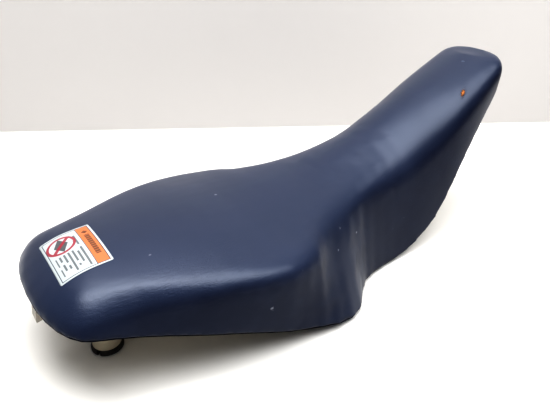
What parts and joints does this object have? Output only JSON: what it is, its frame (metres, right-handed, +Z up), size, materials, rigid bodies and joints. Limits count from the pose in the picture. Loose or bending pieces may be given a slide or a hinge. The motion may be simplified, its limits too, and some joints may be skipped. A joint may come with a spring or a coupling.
{
  "type": "motorcycle seat",
  "caption": "One-piece off-road saddle with a wide rear, narrow rising nose, vinyl cover, foam, moulded pan, rubber feet and a sprung rear latch with a release tab.",
  "frame": {"origin": "middle of the saddle's outline at the level of the surface it stands on", "axes": "+X towards the nose, +Y to the rider's left, +Z up"},
  "size_m": [0.6682, 0.2846, 0.2379],
  "materials": {
    "cover_vinyl": "satin",
    "seat_foam": "matte",
    "pan_plastic": "satin",
    "label_film": "satin",
    "staple_steel": "satin",
    "black_rubber": "matte",
    "plated_steel": "satin",
    "spring_steel": "satin",
    "screw_steel": "satin"
  },
  "bodies": {
    "saddle": {"cover": "cover_vinyl", "foam": "seat_foam", "pan": "pan_plastic", "label": "label_film", "staples": "staple_steel", "foot_rear_left": "black_rubber", "foot_rear_right": "black_rubber", "foot_mid_left": "black_rubber", "foot_mid_right": "black_rubber", "nose_pad_left": "black_rubber", "nose_pad_right": "black_rubber", "tongue": "plated_steel", "side_hook_left": "plated_steel", "side_hook_right": "plated_steel", "latch_bracket": "plated_steel", "latch_pin": "plated_steel", "pin_clip": "spring_steel", "latch_spring": "spring_steel", "screws": "screw_steel"},
    "latch": {"latch_hook": "plated_steel", "release_tab": "pan_plastic"}
  },
  "joints": [
    {"name": "latch_release", "type": "hinge", "parent": "saddle", "child": "latch", "pos_m": [-0.301, 0, 0.057], "axis": [0, 1, 0], "range_deg": [0, 20], "stiffness_Nm_per_rad": 0.2, "springref_deg": -28.65, "deforming": ["latch_spring"]}
  ]
}
